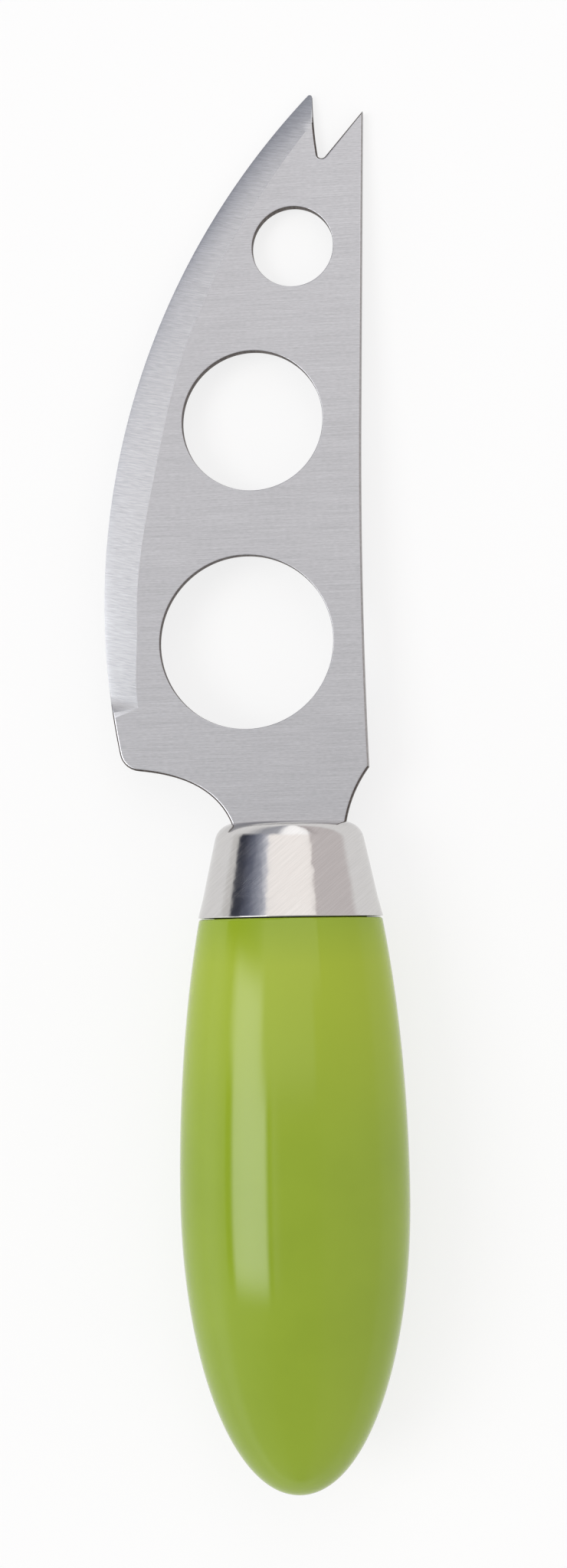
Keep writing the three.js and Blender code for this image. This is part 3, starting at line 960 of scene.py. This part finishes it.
@dataclass
class Ferrule:
    """The oval cap between blade and grip, with a rolled foot, a faint crease and a slot for the blade."""

    height: float = FERRULE_HEIGHT
    seam: float = 0.15
    wall: float = 0.8
    foot_half_width: float = 13.85
    foot_round: float = 0.15
    crease_height: float = 3.0
    crease_half_width: float = 13.1
    crease_round: float = 6.0
    top_half_width: float = 10.65
    top_round: float = 3.0
    oval: float = 26 / 34.1  # the grip's thickness to its width
    slot_width: float = 17.8
    slot_thickness: float = 2.1
    punch_depth: float = 3.2  # past both faces of the top
    segments: int = 160
    round_steps: int = 10
    guard: float = 0.1  # how far past each rounding a row starts, so that straight walls reflect straight
    level_turn: float = 0.999  # a face that looks along the knife by this much or more is level

    def profile(self) -> list[Vector]:
        """Draws the cap's wall in section, from the axis over its outside and back under its inside.

        Returns:
            Half-widths and heights.
        """
        lean = (self.foot_half_width - self.top_half_width) / self.height
        inner_foot = self.foot_half_width - self.wall - lean * self.seam
        inner_top = Vector((self.top_half_width - self.wall, self.height - self.wall))
        corners = (
            (Vector((0, self.height)), 0.0),
            (Vector((self.top_half_width, self.height)), self.top_round),
            (Vector((self.crease_half_width, self.crease_height)), self.crease_round),
            (Vector((self.foot_half_width, self.seam)), self.foot_round),
            (Vector((inner_foot, self.seam)), 0.0),
            (inner_top, self.top_round - self.wall),
            (Vector((0, inner_top.y)), 0.0),
        )
        line = []
        points = [corner for corner, _ in corners]
        for (corner, radius), before, after in zip(corners, (points[-1], *points), (*points[1:], points[0])):
            if radius == 0:
                line.append(corner)
                continue
            back, on = (before - corner).normalized(), (after - corner).normalized()
            half = back.angle(on) / 2
            middle = (back + on).normalized()
            centre = corner + middle * (radius / math.sin(half))
            sweep = math.pi - 2 * half
            side = Vector((-middle.y, middle.x))
            if side.dot(back) < 0:
                side = -side
            line.append(corner + back * (radius / math.tan(half) + self.guard))
            for i in range(self.round_steps + 1):
                turn = sweep * (0.5 - i / self.round_steps)
                line.append(centre - radius * (middle * math.cos(turn) - side * math.sin(turn)))
            line.append(corner + on * (radius / math.tan(half) + self.guard))
        return line

    def cap(self) -> Mesh:
        """Turns the profile about the knife's axis, flattened to the grip's oval.

        Returns:
            The cap's mesh, closed, before its slot is cut.
        """
        work = bmesh.new()
        rings = []
        angles = [math.tau * i / self.segments for i in range(self.segments)]
        for half_width, height in self.profile():
            if half_width == 0:
                rings.append([work.verts.new((0, height, 0))] * self.segments)
                continue
            depth = half_width * self.oval
            rings.append([
                work.verts.new((half_width * math.sin(a), height, depth * math.cos(a))) for a in angles
            ])
        for ring, following in zip(rings, (*rings[1:], rings[0])):
            for i in range(self.segments):
                j = (i + 1) % self.segments
                corners = dict.fromkeys((ring[i], ring[j], following[j], following[i]))
                if len(corners) > 2:
                    work.faces.new(corners)
        bmesh.ops.recalc_face_normals(work, faces=work.faces)
        mesh = bpy.data.meshes.new("ferrule_cap")
        work.to_mesh(mesh)
        work.free()
        return mesh

    def build(self, knife: Matrix) -> Object:
        """Makes the ferrule.

        Args:
            knife: What takes the knife's own frame to the row's.

        Returns:
            The ferrule's object, in place.
        """
        punch_mesh = bpy.data.meshes.new("slot_punch")
        work = bmesh.new()
        size = Matrix.Diagonal((self.slot_width, self.punch_depth, self.slot_thickness, 1))
        bmesh.ops.create_cube(work, matrix=Matrix.Translation((0, self.height - self.wall / 2, 0)) @ size)
        work.to_mesh(punch_mesh)
        work.free()
        punch = put_in_scene("slot_punch", punch_mesh)
        blank = put_in_scene("ferrule_blank", self.cap())
        slot = blank.modifiers.new("slot", "BOOLEAN")
        slot.operation = "DIFFERENCE"
        slot.solver = "EXACT"
        slot.object = punch
        mesh = plain_mesh(blank, "ferrule_cap")
        bpy.data.objects.remove(punch)
        weld_and_crease(mesh)
        for polygon in mesh.polygons:
            polygon.use_smooth = abs(polygon.normal.y) < self.level_turn
        mesh.transform(knife)
        return put_in_scene("ferrule_cap", mesh)

    def dress(self, piece: Object) -> None:
        """Gives the ferrule its finish and its place in the frame.

        Args:
            piece: The ferrule's object.
        """
        piece.data.materials.clear()
        piece.data.materials.append(PolishedStainlessCap().material())
        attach(piece, "root")
        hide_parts("ferrule")


# The rule of the grip's skin, step by step: the step's name, its operation and what it takes
GRIP_RULE = (
    # Depth below the collar, with rows closest at the collar's rim and at the butt
    ("run", "MULTIPLY_ADD", "Down", math.pi, math.pi / 2),
    ("fall", "COSINE", "run"),
    ("share", "MULTIPLY_ADD", "fall", -0.5, 0.5),
    ("depth", "MULTIPLY", "share", "Length"),
    # Each half is an oval about the belly: a plain ellipse above it, a fuller one below it.
    ("past", "SUBTRACT", "depth", "Belly"),
    ("below", "GREATER_THAN", "past", 0.0),
    ("above", "SUBTRACT", 1.0, "below"),
    ("draw_in", "DIVIDE", "Collar", "Width"),
    ("square", "MULTIPLY", "draw_in", "draw_in"),
    ("rest", "SUBTRACT", 1.0, "square"),
    ("root", "SQRT", "rest"),
    ("rise", "DIVIDE", "Belly", "root"),
    ("butt", "SUBTRACT", "Length", "Belly"),
    ("rise_above", "MULTIPLY", "above", "rise"),
    ("reach", "MULTIPLY_ADD", "below", "butt", "rise_above"),
    ("plain_above", "MULTIPLY", "above", 2.0),
    ("power", "MULTIPLY_ADD", "below", "Fullness", "plain_above"),
    ("away", "ABSOLUTE", "past"),
    ("part", "DIVIDE", "away", "reach"),
    ("raised", "POWER", "part", "power"),
    ("over", "SUBTRACT", 1.0, "raised"),
    ("left", "MAXIMUM", "over", 0.0),
    ("inverse", "DIVIDE", 1.0, "power"),
    ("full", "POWER", "left", "inverse"),
    ("half", "MULTIPLY", "Width", 0.5),
    ("side", "MULTIPLY", "full", "half"),
    # The collar's rim is rounded over.
    ("near", "SUBTRACT", "Rim Round", "depth"),
    ("lack", "MAXIMUM", "near", 0.0),
    ("lack_square", "MULTIPLY", "lack", "lack"),
    ("round_square", "MULTIPLY", "Rim Round", "Rim Round"),
    ("across_square", "SUBTRACT", "round_square", "lack_square"),
    ("across", "SQRT", "across_square"),
    ("cut", "SUBTRACT", "Rim Round", "across"),
    ("half_width", "SUBTRACT", "side", "cut"),
    # Turned about the knife's axis and flattened to an oval
    ("turn", "MULTIPLY", "Round", math.tau),
    ("flatness", "DIVIDE", "Thickness", "Width"),
    ("half_thickness", "MULTIPLY", "half_width", "flatness"),
    ("sine", "SINE", "turn"),
    ("cosine", "COSINE", "turn"),
    ("x", "MULTIPLY", "half_width", "sine"),
    ("y", "MULTIPLY", "depth", -1.0),
    ("z", "MULTIPLY", "half_thickness", "cosine"),
)


@dataclass
class Grip:
    """The moulded oval grip, a shell whose sides follow two ellipses that meet at its belly."""

    length: float = 84.2
    width: float = 34.1
    thickness: float = 26.0
    collar: float = 27.4
    belly: float = 40.1
    fullness: float = 2.05
    rim_round: float = 0.3
    wall: float = 2.0
    rows: int = 112
    segments: int = 144
    seam_weld: float = 1e-3  # closes the skin's seam and its end

    def sizes(self) -> dict[str, float]:
        """Gathers the sizes that the skin's tree takes.

        Returns:
            The sizes by the names of the tree's inputs.
        """
        return {
            "Length": self.length, "Width": self.width, "Thickness": self.thickness, "Collar": self.collar,
            "Belly": self.belly, "Fullness": self.fullness, "Rim Round": self.rim_round,
            "Rows": self.rows, "Segments": self.segments + 1,
        }

    def tree(self, finish: Material) -> NodeTree:
        """Makes the geometry nodes that turn the grip's rule into its outer skin.

        Args:
            finish: The material that the tree sets.

        Returns:
            The node tree, with an input for each size in millimetres.
        """
        tree = bpy.data.node_groups.new("oval_grip", "GeometryNodeTree")
        for name, value in self.sizes().items():
            kind = "NodeSocketInt" if isinstance(value, int) else "NodeSocketFloat"
            tree.interface.new_socket(name, in_out="INPUT", socket_type=kind)
        tree.interface.new_socket("Geometry", in_out="OUTPUT", socket_type="NodeSocketGeometry")
        size = add(tree, "NodeGroupInput").outputs

        # A flat sheet of cells: one side runs down the grip, the other goes round it.
        sheet = add(tree, "GeometryNodeMeshGrid", {
            "Size X": 1.0, "Size Y": 1.0, "Vertices X": size["Rows"], "Vertices Y": size["Segments"],
        })
        cell = add(tree, "ShaderNodeSeparateXYZ", {0: add(tree, "GeometryNodeInputPosition")}).outputs
        known = {"Down": cell["X"], "Round": cell["Y"], **{socket.name: socket for socket in size}}
        for name, operation, *values in GRIP_RULE:
            inputs = {number: known.get(value, value) for number, value in enumerate(values)}
            known[name] = add(tree, "ShaderNodeMath", inputs, operation=operation)
        place = add(tree, "ShaderNodeCombineXYZ", {0: known["x"], 1: known["y"], 2: known["z"]})
        turned = add(tree, "GeometryNodeSetPosition", {"Geometry": sheet.outputs["Mesh"], "Position": place})
        closed = add(tree, "GeometryNodeMergeByDistance", {"Geometry": turned, "Distance": self.seam_weld})
        smooth = add(tree, "GeometryNodeSetShadeSmooth", {"Geometry": closed})
        real = add(tree, "GeometryNodeRealizeInstances", {"Geometry": smooth})
        dressed = add(tree, "GeometryNodeSetMaterial", {"Geometry": real, "Material": finish})
        add(tree, "NodeGroupOutput", {"Geometry": dressed})
        return tree

    def build(self, knife: Matrix) -> Object:
        """Makes the grip.

        Args:
            knife: What takes the knife's own frame to the row's.

        Returns:
            The grip's object, in place and with its finish.
        """
        tree = self.tree(GlossLimeAbs().material())
        blank = put_in_scene("grip_blank", bpy.data.meshes.new("grip_blank"))
        skin = blank.modifiers.new("oval_grip", "NODES")
        skin.node_group = tree
        sizes = self.sizes()
        for socket in tree.interface.items_tree:
            if socket.in_out == "INPUT":
                skin[socket.identifier] = sizes[socket.name]
        shell = plain_mesh(blank, "grip_skin")
        weld_and_crease(shell)
        walled = put_in_scene("grip_walled", shell)
        wall = walled.modifiers.new("wall", "SOLIDIFY")
        wall.thickness = self.wall
        wall.offset = -1.0
        mesh = plain_mesh(walled, "grip_shell")
        mesh.transform(knife)
        return put_in_scene("grip_shell", mesh)

    def dress(self, piece: Object) -> None:
        """Gives the grip its place in the frame.

        Args:
            piece: The grip's object.
        """
        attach(piece, "root")
        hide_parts("handle_shell")


@dataclass
class HiddenCore:
    """The plug and the potting inside the grip, which stay as the CAD model has them."""

    plug: str = "tang_core"
    potting: str = "tang_adhesive"

    def dress(self, nodes: Mapping[str, Object]) -> list[Object]:
        """Gives both CAD nodes their finishes.

        Args:
            nodes: The frame's nodes by name.

        Returns:
            The dressed nodes.
        """
        dressed = []
        for name, finish in ((self.plug, GlassFilledNylon()), (self.potting, CuredEpoxy())):
            nodes[name].data.materials.clear()
            nodes[name].data.materials.append(finish.material())
            dressed.append(nodes[name])
        return dressed


@dataclass(frozen=True)
class TentBand:
    """A band of the light tent across the knife: how bright it is from its left wall over to its right."""

    start: float  # where the band begins, from -1 behind the grip to 1 beyond the fork
    softness: float
    lights: tuple[tuple, ...]  # degrees from overhead, strength, and a tint where it isn't white


@dataclass
class Studio:
    """A white floor, a light tent with a soft box and an open side, and the camera over the knife."""

    lens: float = 50.0
    clip_start: float = 0.01  # m
    camera_place: Triple = (44.38, 1.55, 333.26)  # mm
    camera_turn: Triple = (-0.432, 7.0, -1.42)  # degrees: pitch, orbit, roll
    floor_size: float = 30.0  # m
    bands: tuple[TentBand, ...] = (
        TentBand(-1.0, 0.04, (
            (-70, 1.2), (-60, 0.8), (-26, 0.6), (-20, 0.52), (18, 0.52), (24, 0.68, "fffaf8"),
            (60, 0.8, "fffaf8"),
        )),
        TentBand(-0.24, 0.05, (
            (-70, 1.2), (-58, 0.8), (-56, 0.1), (-52, 0.1), (-48, 3.8), (-36, 4.3), (-22, 4.1), (-19, 0.15),
            (-17.5, 0.15), (-15, 1.0), (-9, 0.52), (18, 0.52), (24, 0.68, "fffaf8"), (60, 0.8, "fffaf8"),
        )),
        TentBand(0.1, 0.05, (
            (-70, 1.2), (-57, 0.8), (-48, 3.8), (-36, 4.1), (-27, 3.7), (-22, 1.23), (18.3, 1.19),
            (21, 0.75, "fffaf8"), (60, 0.8, "fffaf8"),
        )),
        TentBand(0.25, 0.04, (
            (-70.2, 0.8, "fffefc"), (-69, 0.06, "c8d2ff"), (-58, 0.07, "c8d2ff"), (-45, 0.22, "d2dcff"),
            (-33, 0.52, "e6ecff"), (-26, 0.95, "f4f6ff"), (-24.5, 1.33, "fffbf8"), (27.5, 1.33, "fffbf8"),
            (28.5, 0.62, "fff4f4"), (30, 0.62, "fff4f4"), (31, 0.77, "fff8f8"),
        )),
        TentBand(0.55, 0.07, (
            (-70, 0.9), (-40, 0.48, "f0f3ff"), (-16, 0.62, "f4f6ff"), (-7, 1.5), (27, 1.5),
            (31, 0.5, "fff4f4"), (45, 0.75, "fff8f8"),
        )),
    )
    horizon: Triple = (0.98, 0.98, 0.98)
    horizon_rise: Pair = (0.03, 0.2)  # how steeply a ray leaves the horizon and is in the tent

    def build(self) -> None:
        """Makes the camera, the floor and the light."""
        self.set_camera()
        self.lay_floor()
        self.light()

    def set_camera(self) -> None:
        """Puts the camera where the photograph was taken from."""
        data = bpy.data.cameras.new("photo_camera")
        data.lens = self.lens
        data.clip_start = self.clip_start
        camera = bpy.data.objects.new("photo_camera", data)
        pitch, orbit, roll = map(math.radians, self.camera_turn)
        turn = Matrix.Rotation(pitch, 4, "X") @ Matrix.Rotation(orbit, 4, "Y") @ Matrix.Rotation(roll, 4, "Z")
        camera.matrix_world = Matrix.Translation(Vector(self.camera_place) * MM) @ turn
        bpy.context.scene.collection.objects.link(camera)
        bpy.context.scene.camera = camera

    def lay_floor(self) -> None:
        """Lays the white paper that the knife lies on."""
        work = bmesh.new()
        bmesh.ops.create_grid(work, size=self.floor_size / 2)
        mesh = bpy.data.meshes.new("paper_floor")
        work.to_mesh(mesh)
        work.free()
        mesh.materials.append(WhiteSweep().material())
        put_in_scene("paper_floor", mesh)

    def light(self) -> None:
        """Lights the knife from the tent, band by band, by the direction that a ray goes in."""
        world = bpy.data.worlds.new("light_tent")
        bpy.context.scene.world = world
        world.use_nodes = True
        tree = world.node_tree
        tree.nodes.clear()
        ray = add(tree, "ShaderNodeTexCoord").outputs["Generated"]
        way = add(tree, "ShaderNodeSeparateXYZ", {0: ray}).outputs
        lean = add(tree, "ShaderNodeMath", {0: way["X"], 1: way["Z"]}, operation="ARCTAN2")
        share = add(tree, "ShaderNodeMapRange", {
            "Value": lean, "From Min": -math.pi / 2, "From Max": math.pi / 2,
        })
        tent: Sequence[float] | NodeSocket = linear("000000")
        for band in self.bands:
            across = add(tree, "ShaderNodeValToRGB", {0: share})
            stops = across.color_ramp.elements
            for number, (degrees, strength, *tint) in enumerate(band.lights):
                stop = stops[number] if number < len(stops) else stops.new(1.0)
                stop.position = (degrees + 90) / 180
                red, green, blue, alpha = linear(*tint or ("ffffff",))
                stop.color = (strength * red, strength * green, strength * blue, alpha)
            begun = add(tree, "ShaderNodeMapRange", {
                "Value": way["Y"],
                "From Min": band.start - band.softness, "From Max": band.start + band.softness,
            }, interpolation_type="SMOOTHSTEP")
            mix = {SHARE: begun, COLOUR_A: tent, COLOUR_B: across}
            tent = add(tree, "ShaderNodeMix", mix, data_type="RGBA").outputs[MIXED_COLOUR]
        low, high = self.horizon_rise
        up = add(tree, "ShaderNodeMapRange", {
            "Value": way["Z"], "From Min": low, "From Max": high,
        }, interpolation_type="SMOOTHSTEP")
        mix = {SHARE: up, COLOUR_A: (*self.horizon, 1), COLOUR_B: tent}
        sky = add(tree, "ShaderNodeMix", mix, data_type="RGBA").outputs[MIXED_COLOUR]
        light = add(tree, "ShaderNodeBackground", {"Color": sky, "Strength": 1.0})
        add(tree, "ShaderNodeOutputWorld", {"Surface": light})
        bpy.context.scene.view_settings.view_transform = "Standard"


def main() -> None:
    """Builds the knife's pieces and the studio round them."""
    logging.basicConfig(level=logging.INFO, format="%(name)s: %(message)s")
    Studio().build()
    mount = next(m for m in frame["record"]["mounts"] if m["name"] == "blade_face")
    blade = Blade()
    place = Vector((0, FERRULE_HEIGHT + blade.mount_height, blade.thickness / 2))
    knife = knife_frame(mount, place)
    for assembly in (blade, Ferrule(), Grip()):
        piece = assembly.build(knife)
        assembly.dress(piece)
        log.info("%s has %d faces", piece.name, len(piece.data.polygons))
    for piece in HiddenCore().dress(frame["nodes"]):
        log.info("%s keeps its CAD shape", piece.name)


if __name__ == "__main__":
    main()
